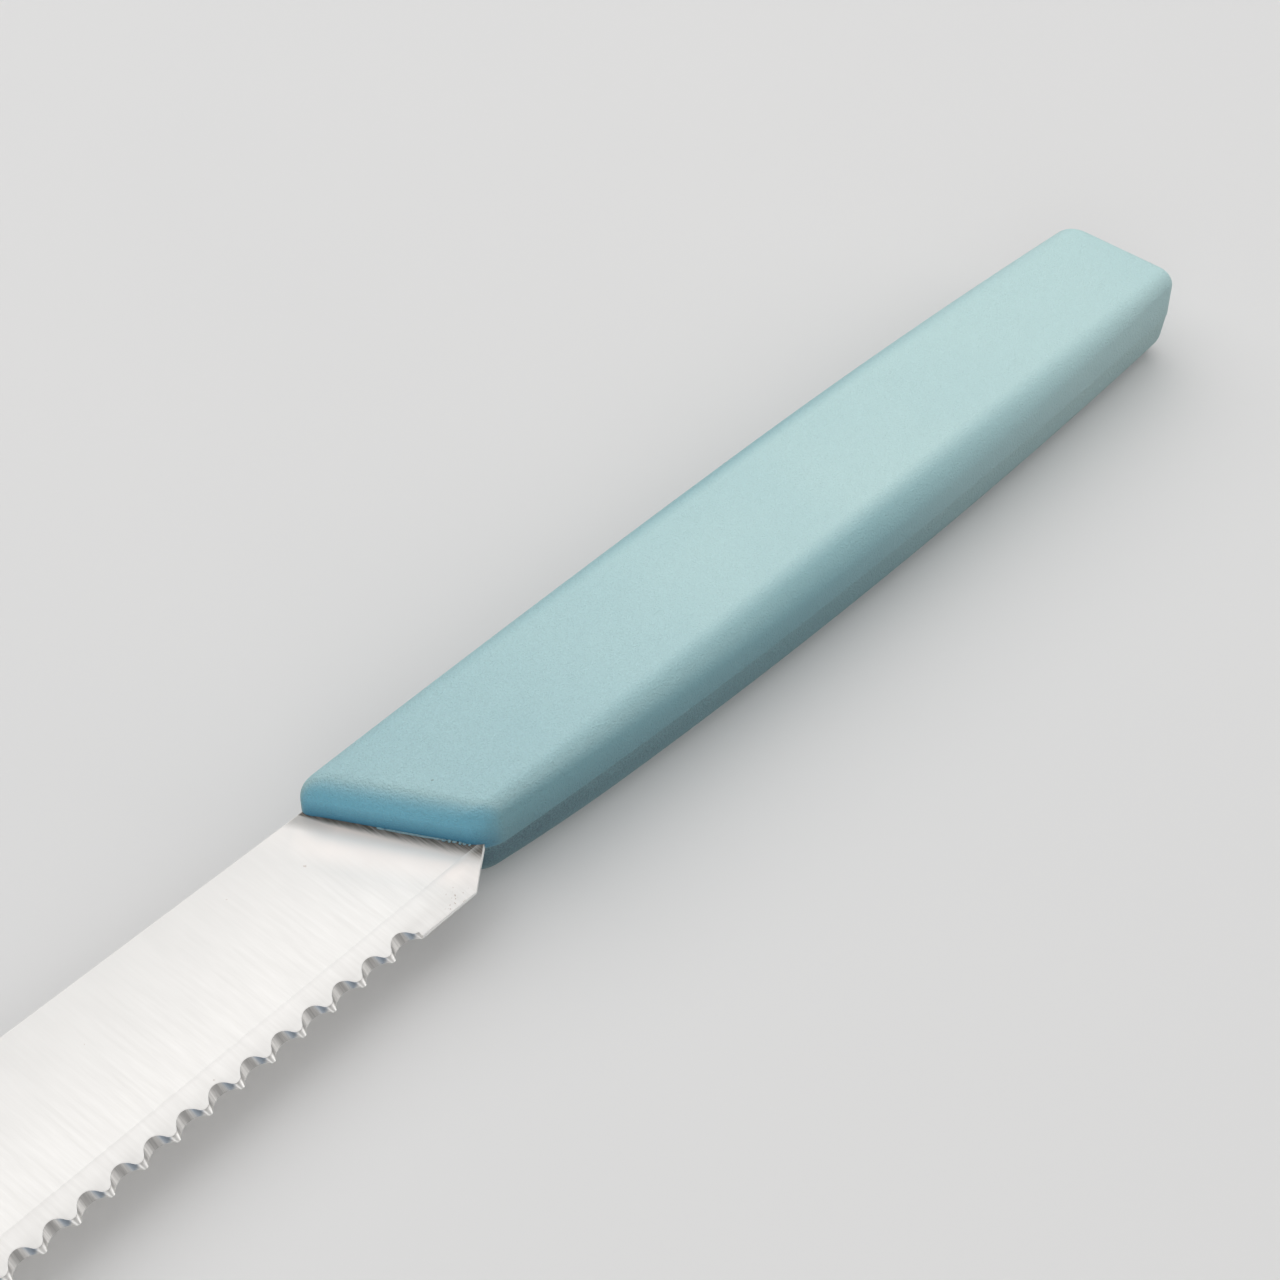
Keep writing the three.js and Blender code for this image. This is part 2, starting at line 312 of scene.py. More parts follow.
bladeForm = {
    "length": 110, "width": 17.5, "flare": 1.2, "thickness": 1.2, "edgeBreak": 0.12,
    "noseLength": 24, "noseDrop": 13, "noseEdge": 7, "noseFull": 0.45, "underFull": 0.55, "noseSteps": (25, 15),
    "heelCorner": (-6.28, 17.37), "heelRoot": (-9.69, 14.51),
    "tang": {"reach": 72, "middle": 7.75, "width": 9, "endWidth": 7, "start": -6.87, "end": -12.38,
             "endRound": 3.49, "endSteps": 10},
    "seat": 3, "holes": (-28, -58), "holeRadius": 2.25, "holeCut": 4, "holeSides": 48,
    "grindWidth": 3.4, "edgeThickness": 0.42, "arris": 0.05, "breakSteps": 2, "crease": 28,
    "borderAngle": 3, "flatNormal": 0.9999,   # what counts as a border of the flat
    "frontSlant": 33.8,   # the moulding's front against the blade
    "heelSpecks": (1.9, -0.2, 0.3),   # from the heel corner
}
datum = Vector((bladeHigh.x - bladeForm["length"] * mm, bladeLow.y, (bladeLow.z + bladeHigh.z) / 2))
flare = math.radians(bladeForm["flare"])
slant = math.radians(bladeForm["frontSlant"])
frontPlace = datum + Vector((0, 0, bladeForm["thickness"] / 2)) * mm   # where the moulding's front meets the steel
frontWay = Vector((math.cos(slant), math.sin(slant), 0))   # out of the front wall
frontAlong = Vector((-math.sin(slant), math.cos(slant), 0))   # along it, to the belly
heelPlace = datum + (Vector((*bladeForm["heelCorner"], 0)) + Vector(bladeForm["heelSpecks"])) * mm
edgePlace = datum + Vector((0, bladeForm["width"], 0)) * mm   # the line of the tooth tips
edgeWay = Vector((-math.sin(flare), math.cos(flare), 0))

# a fade in these finishes is from, to, value at the first, value at the second
steelFinish = {
    "pale": (0.79, 0.775, 0.755), "deep": (0.73, 0.715, 0.695), "turn": 7, "brushing": {"Across": 2600, "Along": 190},
    "spine": (0.66, 0.65, 0.635), "spineFade": (6, 18, 0, 0.85),
    "heel": (1.0, 0.91, 0.86), "heelFade": (2, 5.5, 1, 0), "handleLightSpine": (0, 4, 0.1, 1), "handleLightBelly": (15, 17, 1, 0.5),
    "band": (1.155, 1.155, 1.155), "bandEdge": 0.05, "bandFade": (1.2, 3.4, 0.1, 1), "bandFront": (2, 7, 0.3, 1),
    "tarnish": (0.48, 0.40, 0.36), "speckFade": (2.0, 0.8, 0, 0.9), "strayShare": 0.6,
    "specks": {"Cells": 3200, "Size": 0.3, "Share": 0.6}, "strays": {"Cells": 300, "Size": 0.05, "Share": 0.8},
    "wallShade": (0.27, 0.245, 0.215), "wallShadeSpine": (0, 3, 0.2, 0.7), "wallShadeBelly": (3, 15, 0, 0.85),
    "wallShadeFade": (0.12, 1, 1, 0), "hairs": {"Across": 9000, "Along": 400}, "hairFade": (0.35, 0.65, 0.65, 1.1),
    "rim": (0.95, 0.94, 0.92), "rimHighlightFade": (0.9, 0.97, 1, 0),
    "roughness": (0.43, 0.47), "dullFade": (0.6, 2.2, 0.85, 0.4), "bump": (0.4, 0.00001),
}


def makeSatinSteel():
    finish = steelFinish
    material, tree, shader, coords = startMaterial("satinSteel")
    # the brushing runs across the blade, leaning a little to the handle
    turned = addNode(tree, "ShaderNodeMapping", {"Rotation": (0, 0, -math.radians(finish["turn"]))})
    tree.links.new(coords, turned.inputs["Vector"])
    lines = useGroup(tree, grindLines, turned.outputs[0], **finish["brushing"])
    colour = mixColour(tree, remap(tree, lines["Fine"], *noiseSpan, 0, 1), finish["deep"], finish["pale"])
    fromEdge = wayFrom(tree, coords, edgePlace, -edgeWay)   # greyer to the spine
    colour = mixColour(tree, fade(tree, fromEdge, *finish["spineFade"]), colour, finish["spine"])
    away = wayFrom(tree, coords, frontPlace, frontWay)   # and brightest by the handle
    along = wayFrom(tree, coords, frontPlace, frontAlong)
    ends = combine(tree, fade(tree, along, *finish["handleLightSpine"]), fade(tree, along, *finish["handleLightBelly"]), "MINIMUM")
    near = product(tree, fade(tree, away, *finish["heelFade"], True), ends)
    # painted light: the steel is made brighter and warmer by the handle, to cancel the shade and blue reflection the
    # moulding casts on it
    colour = mixColour(tree, near, colour, finish["heel"])
    # painted light: the tapered band is made paler so its tilt doesn't show darker than the flat, less at the teeth and
    # by the handle
    border, soft = bladeForm["grindWidth"], finish["bandEdge"]
    band = fade(tree, fromEdge, border - soft, border + soft, 1, 0)
    band = product(tree, band, fade(tree, fromEdge, *finish["bandFade"]))
    band = product(tree, band, fade(tree, away, *finish["bandFront"]))
    colour = mixColour(tree, band, colour, finish["band"], "MULTIPLY")
    # rusty specks by the heel corner, and a few anywhere
    heel = addNode(tree, "ShaderNodeVectorMath", operation="DISTANCE")
    tree.links.new(coords, heel.inputs[0])
    heel.inputs[1].default_value = heelPlace
    specks = product(tree, useGroup(tree, strayMarks, coords, **finish["specks"])["Mask"],
                     fade(tree, heel.outputs["Value"], *finish["speckFade"]))
    strays = product(tree, useGroup(tree, strayMarks, coords, **finish["strays"])["Mask"],
                     finish["strayShare"])
    colour = mixColour(tree, combine(tree, specks, strays, "MAXIMUM"), colour, finish["tarnish"])
    # painted shade: a dark strip on the steel along the moulding, for the shadow and reflection of its front wall,
    # wider towards the belly and streaked by fine lines
    reach = combine(tree, fade(tree, along, *finish["wallShadeSpine"]), fade(tree, along, *finish["wallShadeBelly"]))
    share = combine(tree, away, product(tree, reach, mm), "DIVIDE")
    hairs = useGroup(tree, grindLines, turned.outputs[0], **finish["hairs"])["Fine"]
    wallShadeMask = product(tree, remap(tree, share, *finish["wallShadeFade"], True),
                    remap(tree, hairs, *finish["hairFade"]))
    colour = mixColour(tree, wallShadeMask, colour, finish["wallShade"])
    # painted highlight: the broken edges are made paler, so they shine
    colour = mixColour(tree, remap(tree, facingOf(tree)[2], *finish["rimHighlightFade"]), colour, finish["rim"])
    tree.links.new(colour, shader.inputs["Base Color"])
    rough = combine(tree, remap(tree, lines["Broad"], *noiseSpan, *finish["roughness"]),
                    fade(tree, away, *finish["dullFade"], True), "MAXIMUM")
    tree.links.new(rough, shader.inputs["Roughness"])
    shader.inputs["Metallic"].default_value = 1
    tree.links.new(bumpFrom(tree, lines["Fine"], *finish["bump"]), shader.inputs["Normal"])
    return material


groundFinish = {
    "pale": (0.60, 0.585, 0.565), "deep": (0.42, 0.41, 0.395), "lines": {"Across": 8000, "Along": 300},
    "handleReflection": (0.22, 0.27, 0.33), "heelFade": (0.2, 0.5, 0, 0.8),
    "tip": (0.82, 0.805, 0.78), "tipHighlightFade": (-0.75, -0.35, 0, 0.95),
    "roughness": (0.34, 0.46), "bump": (0.4, 0.00001),
}


def makeGroundSteel():
    finish = groundFinish
    material, tree, shader, coords = startMaterial("groundSteel")
    lines = useGroup(tree, grindLines, coords, **finish["lines"])
    colour = mixColour(tree, remap(tree, lines["Fine"], *noiseSpan, 0, 1), finish["deep"], finish["pale"])
    # painted reflection: the heel-side ends of the hollows are tinted blue, for the blue handle seen in them
    colour = mixColour(tree, remap(tree, facingOf(tree)[0], *finish["heelFade"], True), colour, finish["handleReflection"])
    # painted highlight: paler towards the tooth tips
    proud = wayFrom(tree, coords, edgePlace, edgeWay)
    colour = mixColour(tree, fade(tree, proud, *finish["tipHighlightFade"], True), colour, finish["tip"])
    tree.links.new(colour, shader.inputs["Base Color"])
    tree.links.new(remap(tree, lines["Broad"], *noiseSpan, *finish["roughness"]), shader.inputs["Roughness"])
    shader.inputs["Metallic"].default_value = 1
    tree.links.new(bumpFrom(tree, lines["Fine"], *finish["bump"]), shader.inputs["Normal"])
    return material


satinSteel = makeSatinSteel()
groundSteel = makeGroundSteel()


def edgeY(x):
    return bladeForm["width"] + math.tan(flare) * x


def bladeOutline(bm):
    form, tang = bladeForm, bladeForm["tang"]
    tip, drop, turn = form["length"], form["noseDrop"], form["length"] - form["noseEdge"]
    rise = edgeY(turn) - drop
    full, pulled = form["noseFull"], turn + form["underFull"] * form["noseEdge"]
    nose = interpolate_bezier((tip - form["noseLength"], 0, 0), (tip - full * form["noseLength"], 0, 0),
                              (tip, full * drop, 0), (tip, drop, 0), form["noseSteps"][0])
    under = interpolate_bezier((tip, drop, 0), (tip, drop + form["underFull"] * rise, 0),
                               (pulled, edgeY(pulled), 0), (turn, edgeY(turn), 0), form["noseSteps"][1])
    points = [(-form["seat"], 0)] + [(p.x, p.y) for p in nose + under[1:]]
    points += [form["heelCorner"], form["heelRoot"], (tang["end"], tang["middle"] + tang["width"] / 2)]
    endCorners = [(-tang["reach"], tang["middle"] + side * tang["endWidth"] / 2) for side in (1, -1)]
    points += endCorners + [(tang["start"], tang["middle"] - tang["width"] / 2)]
    flatFace(bm, points)
    return roundCorners(bm, endCorners, tang["endRound"], tang["endSteps"])


scallopForm = {
    "pitch": 3.4, "depth": 1.0, "tipRound": 0.3, "topRound": 0.8, "rise": 0.7, "trim": 0.03,
    "facet": 42, "lean": 0.1, "first": 0.12, "count": 30, "tipSteps": 4, "hollowSteps": 14, "over": 3,
}


def toothLine(tipRound):
    # the toothed edge seen from above: round tips with round hollows between them
    form = scallopForm
    half, depth = form["pitch"] / 2, form["depth"]
    both = (half ** 2 + depth ** 2) / (2 * depth)   # tip round and hollow round together
    turn = math.atan2(both - depth, half)   # where a tip runs into a hollow
    bm = bmesh.new()
    end = bm.verts.new((0, 0, 0))
    for tooth in range(form["count"]):
        x = tooth * form["pitch"]
        for centre, angle, steps in (((x, -tipRound, 0), turn - math.pi / 2, form["tipSteps"]),
                                     ((x + half, both - tipRound - depth, 0), math.pi - 2 * turn, form["hollowSteps"]),
                                     ((x + 2 * half, -tipRound, 0), turn - math.pi / 2, form["tipSteps"])):
            made = bmesh.ops.spin(bm, geom=[end], cent=centre, axis=(0, 0, 1), angle=angle, steps=steps)
            end = made["geom_last"][0]
    for x in (form["count"] * form["pitch"], 0):   # and round the outside, well past the edge
        bm.verts.new((x, form["over"], 0))
    return bm


def scallopComb():
    # what a formed wheel takes off the upper face: the line leans back as it rises, its tips grow rounder
    form = scallopForm
    run = 1 / math.tan(math.radians(form["facet"]))
    levels = []
    for height in (-bladeForm["edgeThickness"], bladeForm["thickness"]):
        above = height + bladeForm["edgeThickness"] / 2
        level = toothLine(form["tipRound"] + (form["topRound"] - form["tipRound"]) * above / form["rise"])
        bmesh.ops.translate(level, vec=(form["lean"] * run * above, -form["trim"] - run * above, height),
                            verts=level.verts)
        levels.append(level)
    bm, upper = levels
    face = bm.faces.new(bm.verts)
    cap = bmesh.ops.extrude_discrete_faces(bm, faces=[face])["faces"][0]
    for vert, place in zip(cap.verts, [v.co.copy() for v in upper.verts]):
        vert.co = place
    upper.free()
    bmesh.ops.holes_fill(bm, edges=[e for e in bm.edges if e.is_boundary])
    bmesh.ops.recalc_face_normals(bm, faces=bm.faces)
    onEdge = Matrix.Translation((form["first"], edgeY(form["first"]), 0)) @ Matrix.Rotation(flare, 4, "Z")
    bmesh.ops.transform(bm, matrix=onEdge, verts=bm.verts)
    placeInFrame(bm)
    return addPiece("scallopComb", bm, groundSteel)


def holeCutter():
    bm = bmesh.new()
    for x in bladeForm["holes"]:
        bmesh.ops.create_cone(bm, cap_ends=True, segments=bladeForm["holeSides"], depth=bladeForm["holeCut"],
                              radius1=bladeForm["holeRadius"], radius2=bladeForm["holeRadius"],
                              matrix=Matrix.Translation((x, bladeForm["tang"]["middle"], 0)))
    placeInFrame(bm)
    return addPiece("tangHoles", bm, satinSteel)


def breakArris(blade):
    # the corner between the ground scallops and the upper face catches the light
    bm = bmesh.new()
    bm.from_mesh(blade.data)
    arris = [e for e in bm.edges if len({face.material_index for face in e.link_faces}) == 2
             and min(v.co.z for v in e.verts) > datum.z]
    bmesh.ops.bevel(bm, geom=arris, offset=bladeForm["arris"] * mm, segments=bladeForm["breakSteps"], profile=0.5,
                    affect="EDGES", material=-1)
    bm.to_mesh(blade.data)
    bm.free()


def flatBorders(blade):
    # edges round the flat of the upper and lower face, the tapered band is only a few degrees off it
    bm = bmesh.new()
    bm.from_mesh(blade.data)
    leastAngle = math.radians(bladeForm["borderAngle"])
    borders = [e.index for e in bm.edges if len(e.link_faces) == 2 and e.calc_face_angle() > leastAngle
               and max(abs(face.normal.z) for face in e.link_faces) > bladeForm["flatNormal"]]
    bm.free()
    return borders


def makeBlade():
    form = bladeForm
    bm = bmesh.new()
    face = bladeOutline(bm)
    bmesh.ops.translate(bm, vec=(0, 0, -form["thickness"] / 2), verts=bm.verts)
    raised = bmesh.ops.extrude_face_region(bm, geom=[face])
    top = [g for g in raised["geom"] if isinstance(g, bmesh.types.BMVert)]
    bmesh.ops.translate(bm, vec=(0, 0, form["thickness"]), verts=top)
    bmesh.ops.recalc_face_normals(bm, faces=bm.faces)
    rim = [e for e in bm.edges if abs(e.verts[0].co.z - e.verts[1].co.z) < 1e-6]
    bmesh.ops.bevel(bm, geom=rim, offset=form["edgeBreak"], segments=form["breakSteps"], profile=0.5,
                    affect="EDGES", material=-1)
    # tapered band along the cutting edge
    bandStart = Vector((0, form["width"], 0)) - edgeWay * form["grindWidth"]
    bmesh.ops.bisect_plane(bm, geom=bm.verts[:] + bm.edges[:] + bm.faces[:], dist=1e-5,
                           plane_co=bandStart, plane_no=edgeWay)
    for vert in bm.verts:
        share = (vert.co - bandStart).dot(edgeWay) / form["grindWidth"]
        if share > 0:
            vert.co.z *= 1 + share * (form["edgeThickness"] / form["thickness"] - 1)
    placeInFrame(bm)
    blade = addPiece("bladeSteel", bm, satinSteel, groundSteel)
    cutWith(blade, [scallopComb(), holeCutter()])
    breakArris(blade)
    softShade(blade, form["crease"])
    for edge in flatBorders(blade):
        blade.data.edges[edge].use_edge_sharp = True
    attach(blade, "root")
    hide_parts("blade")
    return blade


blade = makeBlade()
print("blade:", len(blade.data.polygons), "faces")


# handle, one moulding in two mould halves that meet at the middle of the steel

handleForm = {
    "length": 108.39, "width": 17.898, "thickness": 11.7, "proud": 1.198, "swell": 57,
    "spineDrops": (0.72, 1.75), "bellyDrops": (2.55, 1.65), "buttSlant": 8,
    "draft": 3, "longRound": 2.7, "bellyRound": 3.5,
    "frontRound": (2.0, 2.75), "buttRound": (2.0, 2.0),   # set-back and drop
    "frontCorners": (1.65, 2.0), "buttCorners": (1.5, 1.6),   # on the spine and on the belly
    "partingStep": 0.15, "stepFade": 0.8, "bellyStep": 0.7, "bellyStepRun": 18,   # it grows on the belly, by the front
    "roundShare": 0.7, "roundSteps": 12, "endSteps": 14, "bodySteps": 40, "capInset": 0.2, "crease": 35,
    "rimGap": 0.06, "faceGap": 0.05,
}

# lengths along the handle are shares of it, from front to butt; heights are from the parting line
plasticFinish = {
    "pale": (0.605, 0.835, 0.835), "deep": (0.468, 0.70, 0.74), "paleFade": (0, 0.65, 0, 1),
    "clouds": 60, "cloudSpread": 0.12, "grain": 5200, "coarse": 2600,
    "side": (0.31, 0.55, 0.595), "edgeShadeTilt": (0, 0.6, 0, 1), "edgeShadeFront": (0.05, 0.45, 0.15, 0.8),
    "edgeShadeButt": (0.55, 0.95, 1, 0.1), "sideShadeTilt": (0.6, 0.05, 0, 1), "sideShadeFade": (0.1, 0.65, 0.75, -0.25),
    "front": (0.24, 0.66, 0.86), "frontFootShade": (0.065, 0.27, 0.44), "frontTilt": (0.35, 1, 0, 1), "frontPower": 2,
    "frontFoot": (-0.2, 0.2, 0, 1), "footShadeFade": (0, 2.6, 1, 0),
    "parting": (0.155, 0.255, 0.305), "stripTop": (-0.1, 0, 1, 0), "stripFoot": (-4.6, -2.4, 0, 1),
    "speckle": (0.38, 0.6, 0.6, 0.15), "speckleFade": (0, 0.7, 1, 0.1),
    "greyTop": (3, -3, 0, 0.5), "greyFoot": (-5.6, -4, 0, 1), "greyFade": (0.15, 0.9, 1, 0.3),
    "greyFront": (0.08, 0.2, 1.3, 1), "greyAhead": (0, 0.5, 1, 0),
    "fleck": (0.32, 0.68, 0.94, 1.03), "fleckFade": (0, 0.5, 1, 0.4),
    "speck": (0.13, 0.17, 0.17), "specks": {"Cells": 300, "Size": 0.07, "Share": 0.9},
    "speckFade": (0.1, 0.35, 0.55, 0), "speckTilt": (0.8, 0.95, 0, 1),
    "roughness": (0.42, 0.58), "refraction": 1.49, "gloss": 0.35,
    "leathery": (0, 0.35, 1.2, 0.1), "bump": (0.7, 0.0002),
}


def makeMouldedPlastic():
    finish = plasticFinish
    material, tree, shader, coords = startMaterial("mouldedPlastic")
    place = addNode(tree, "ShaderNodeSeparateXYZ")
    tree.links.new(coords, place.inputs[0])
    toButt = remap(tree, place.outputs[0], handleHigh.x, handleLow.x, 0, 1)
    height = combine(tree, place.outputs[2], datum.z, "SUBTRACT")
    facing = facingOf(tree)
    clouds = noiseAt(tree, coords, finish["clouds"], 2)
    grain = noiseAt(tree, coords, finish["grain"], 2, 0.5)
    coarse = noiseAt(tree, coords, finish["coarse"], 3, 0.6)
    spread = finish["cloudSpread"]
    # partly the plastic's own tone, partly painted light: paler and less blue towards the butt, where the top is more
    # lit
    paler = combine(tree, remap(tree, toButt, *finish["paleFade"]), remap(tree, clouds, *noiseSpan, -spread, spread))
    colour = mixColour(tree, paler, finish["deep"], finish["pale"])
    # painted shade: deeper round the long edges in the middle of the handle, and on the sides by the front
    upright = combine(tree, facing[2], 0, "ABSOLUTE")
    tilt = combine(tree, combine(tree, 1, combine(tree, upright, 2, "POWER"), "SUBTRACT"), 0.5, "POWER")
    middle = product(tree, remap(tree, toButt, *finish["edgeShadeFront"]), remap(tree, toButt, *finish["edgeShadeButt"]))
    edges = product(tree, remap(tree, tilt, *finish["edgeShadeTilt"]), middle)
    sideShade = product(tree, remap(tree, upright, *finish["sideShadeTilt"]), remap(tree, toButt, *finish["sideShadeFade"]))
    colour = mixColour(tree, combine(tree, edges, sideShade), colour, finish["side"])
    # painted shade and light: a strong blue down the front wall, darker at its foot just above the steel
    normal = addNode(tree, "ShaderNodeNewGeometry").outputs["Normal"]
    ahead = remap(tree, wayFrom(tree, normal, (0, 0, 0), frontWay), *finish["frontTilt"])
    ahead = product(tree, combine(tree, ahead, finish["frontPower"], "POWER"),
                    fade(tree, height, *finish["frontFoot"]))
    low = fade(tree, combine(tree, height, frontPlace.z - datum.z, "SUBTRACT"), *finish["footShadeFade"])
    colour = mixColour(tree, ahead, colour, mixColour(tree, low, finish["front"], finish["frontFootShade"]))
    # painted shade: the sides grow darker and greyer downwards, with a speckled strip under the parting line by the
    # front
    below = product(tree, fade(tree, height, *finish["stripTop"]), fade(tree, height, *finish["stripFoot"]))
    speckle = product(tree, remap(tree, grain, *finish["speckle"]), remap(tree, toButt, *finish["speckleFade"]))
    grey = product(tree, fade(tree, height, *finish["greyTop"]), fade(tree, height, *finish["greyFoot"]))
    grey = combine(tree, grey, product(tree, below, speckle))
    for length, limits in ((toButt, "greyFade"), (toButt, "greyFront"), (ahead, "greyAhead")):
        grey = product(tree, grey, remap(tree, length, *finish[limits]))
    colour = mixColour(tree, grey, colour, finish["parting"])
    # moulded grain, it shows most by the front
    fleck = greyOf(tree, remap(tree, grain, *finish["fleck"]))
    colour = mixColour(tree, remap(tree, toButt, *finish["fleckFade"]), colour, fleck, "MULTIPLY")
    fewer = product(tree, remap(tree, toButt, *finish["speckFade"]), remap(tree, facing[2], *finish["speckTilt"]))
    specks = product(tree, useGroup(tree, strayMarks, coords, **finish["specks"])["Mask"], fewer)
    colour = mixColour(tree, specks, colour, finish["speck"])
    tree.links.new(colour, shader.inputs["Base Color"])
    tree.links.new(remap(tree, grain, *noiseSpan, *finish["roughness"]), shader.inputs["Roughness"])
    shader.inputs["IOR"].default_value = finish["refraction"]
    shader.inputs["Specular IOR Level"].default_value = finish["gloss"]
    leathery = combine(tree, remap(tree, toButt, *finish["leathery"]), below, "MAXIMUM")
    bumps = combine(tree, grain, product(tree, coarse, leathery))
    tree.links.new(bumpFrom(tree, bumps, *finish["bump"]), shader.inputs["Normal"])
    return material


mouldedPlastic = makeMouldedPlastic()


def bowedIn(x, drops):
    behind = -x - handleForm["swell"]
    if behind < 0:
        return drops[0] * (behind / handleForm["swell"]) ** 2
    return drops[1] * (behind / (handleForm["length"] - handleForm["swell"])) ** 2


def spineY(x):
    return bowedIn(x, handleForm["spineDrops"]) - handleForm["proud"]


def bellyY(x):
    return handleForm["width"] - handleForm["proud"] - bowedIn(x, handleForm["bellyDrops"])


def roundedOff(distance, run, rise):
    # how far a rounded end has come in at some distance from it
    return rise * (1 - math.sqrt(1 - (1 - distance / run) ** 2)) if distance < run else 0


def handleStations():
    form = handleForm
    frontRun = max(*form["frontCorners"], form["frontRound"][0] / math.cos(slant))
    buttRun = max(*form["buttCorners"], form["buttRound"][0])
    ends = [1 - math.cos(step / form["endSteps"] * math.pi / 2) for step in range(form["endSteps"])]
    body = [frontRun + (form["length"] - frontRun - buttRun) * step / form["bodySteps"]
            for step in range(form["bodySteps"] + 1)]
    return [frontRun * end for end in ends] + body + [form["length"] - buttRun * end for end in reversed(ends)]


def sideProfile(half, longRound):
    # inset and height from the parting line, up the drafted side and round the long edge
    draft = math.radians(handleForm["draft"])
    radius = min(longRound, handleForm["roundShare"] * half)
    centre = half - radius
    inset = math.tan(draft) * (centre + radius * math.sin(draft)) + radius * math.cos(draft)
    points = [(0, 0)]
    for step in range(handleForm["roundSteps"] + 1):
        turn = draft + (math.pi / 2 - draft) * step / handleForm["roundSteps"]
        points.append((inset - radius * math.cos(turn), centre + radius * math.sin(turn)))
    return points


def handleRing(distance):
    # points round the handle at one distance from its slanted front
    form = handleForm
    frontSlope = math.tan(slant)
    buttSlope = math.tan(math.radians(form["buttSlant"]))
    share, left = distance / form["length"], form["length"] - distance
    frontX = (-frontSlope * spineY(0), -frontSlope * bellyY(-frontSlope * bellyY(0)))
    buttX = [-form["length"] - buttSlope * side(-form["length"]) for side in (spineY, bellyY)]
    spineX, bellyX = [frontX[i] + (buttX[i] - frontX[i]) * share for i in (0, 1)]
    spine, belly = Vector((spineX, spineY(spineX), 0)), Vector((bellyX, bellyY(bellyX), 0))
    across = (belly - spine).normalized()
    ends = [roundedOff(distance, form["frontCorners"][i], form["frontCorners"][i])
            + roundedOff(left, form["buttCorners"][i], form["buttCorners"][i]) for i in (0, 1)]
    frontRun = form["frontRound"][0] / math.cos(slant)
    half = (form["thickness"] / 2 - roundedOff(distance, frontRun, form["frontRound"][1])
            - roundedOff(left, *form["buttRound"]))
    # the upper belly edge is rounder where the belly swells, so the top's flat keeps a straight edge
    bellyRound = form["bellyRound"] - bowedIn(bellyX, form["bellyDrops"])
    # the lower half stands back a little all round, less by the butt and more on the belly by the front
    step = form["partingStep"] * (1 - form["stepFade"] * share)
    wider = form["bellyStep"] * max(0, 1 - distance / form["bellyStepRun"]) ** 2
    lengthwise = Vector((step * (2 * share - 1), 0, 0))
    upper, lower = [], []
    for start, inward, end, back, topRound in ((belly, -across, ends[1], step + wider, bellyRound),
                                               (spine, across, ends[0], step, form["longRound"])):
        upper.append([start + inward * (end + inset) + Vector((0, 0, height))
                      for inset, height in sideProfile(half, topRound)])
        lower.append([start + lengthwise + inward * (end + inset + back) - Vector((0, 0, height))
                      for inset, height in sideProfile(half, form["longRound"])])
    return upper[0] + upper[1][::-1] + lower[1] + lower[0][::-1]


def tangRoom():
    # what the steel leaves free in the moulding
    bm = bmesh.new()
    face = bladeOutline(bm)
    places = [v.co.copy() for v in face.verts]
    for vert, place, way in zip(face.verts, places, inwardWays(places)):
        vert.co = place - way * handleForm["rimGap"]
    half = bladeForm["thickness"] / 2 + handleForm["faceGap"]
    bmesh.ops.translate(bm, vec=(0, 0, -half), verts=bm.verts)
    raised = bmesh.ops.extrude_face_region(bm, geom=[face])
    top = [g for g in raised["geom"] if isinstance(g, bmesh.types.BMVert)]
    bmesh.ops.translate(bm, vec=(0, 0, 2 * half), verts=top)
    bmesh.ops.recalc_face_normals(bm, faces=bm.faces)
    placeInFrame(bm)
    return addPiece("tangRoom", bm, mouldedPlastic)


def makeHandle():
    bm = bmesh.new()
    rings = [handleRing(distance) for distance in handleStations()]
    cap = bm.faces.new([bm.verts.new(place) for place in rings[0]])
    for ring in rings[1:]:   # the section is pulled from the front to the butt
        cap = bmesh.ops.extrude_discrete_faces(bm, faces=[cap])["faces"][0]
        for vert, place in zip(cap.verts, ring):
            vert.co = place
    front = bmesh.ops.holes_fill(bm, edges=[e for e in bm.edges if e.is_boundary])["faces"]
    bmesh.ops.inset_individual(bm, faces=front + [cap], thickness=handleForm["capInset"], use_even_offset=True)
    bmesh.ops.recalc_face_normals(bm, faces=bm.faces)
    placeInFrame(bm)
    handle = addPiece("handleMoulding", bm, mouldedPlastic)
    cutWith(handle, [tangRoom()])
    softShade(handle, handleForm["crease"])
    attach(handle, "root")
    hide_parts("handle")
    return handle


flashForm = {   # share of the way along the front, then half sizes along it, out of it and up
    "film": (0.60, 3.4, 0.13, 0.05),
    "lumps": ((0.43, 0.30, 0.12, 0.09), (0.735, 0.20, 0.13, 0.10), (0.765, 0.24, 0.17, 0.13), (0.795, 0.16, 0.20, 0.15),
              (0.82, 0.21, 0.16, 0.12), (0.85, 0.15, 0.22, 0.16), (0.872, 0.19, 0.18, 0.14), (0.9, 0.14, 0.15, 0.11)),
    "lift": 0.02, "uneven": 0.05, "waves": 3, "calmUnder": 1 / 6, "seed": 7, "subdivisions": 4, "crease": 60,
}


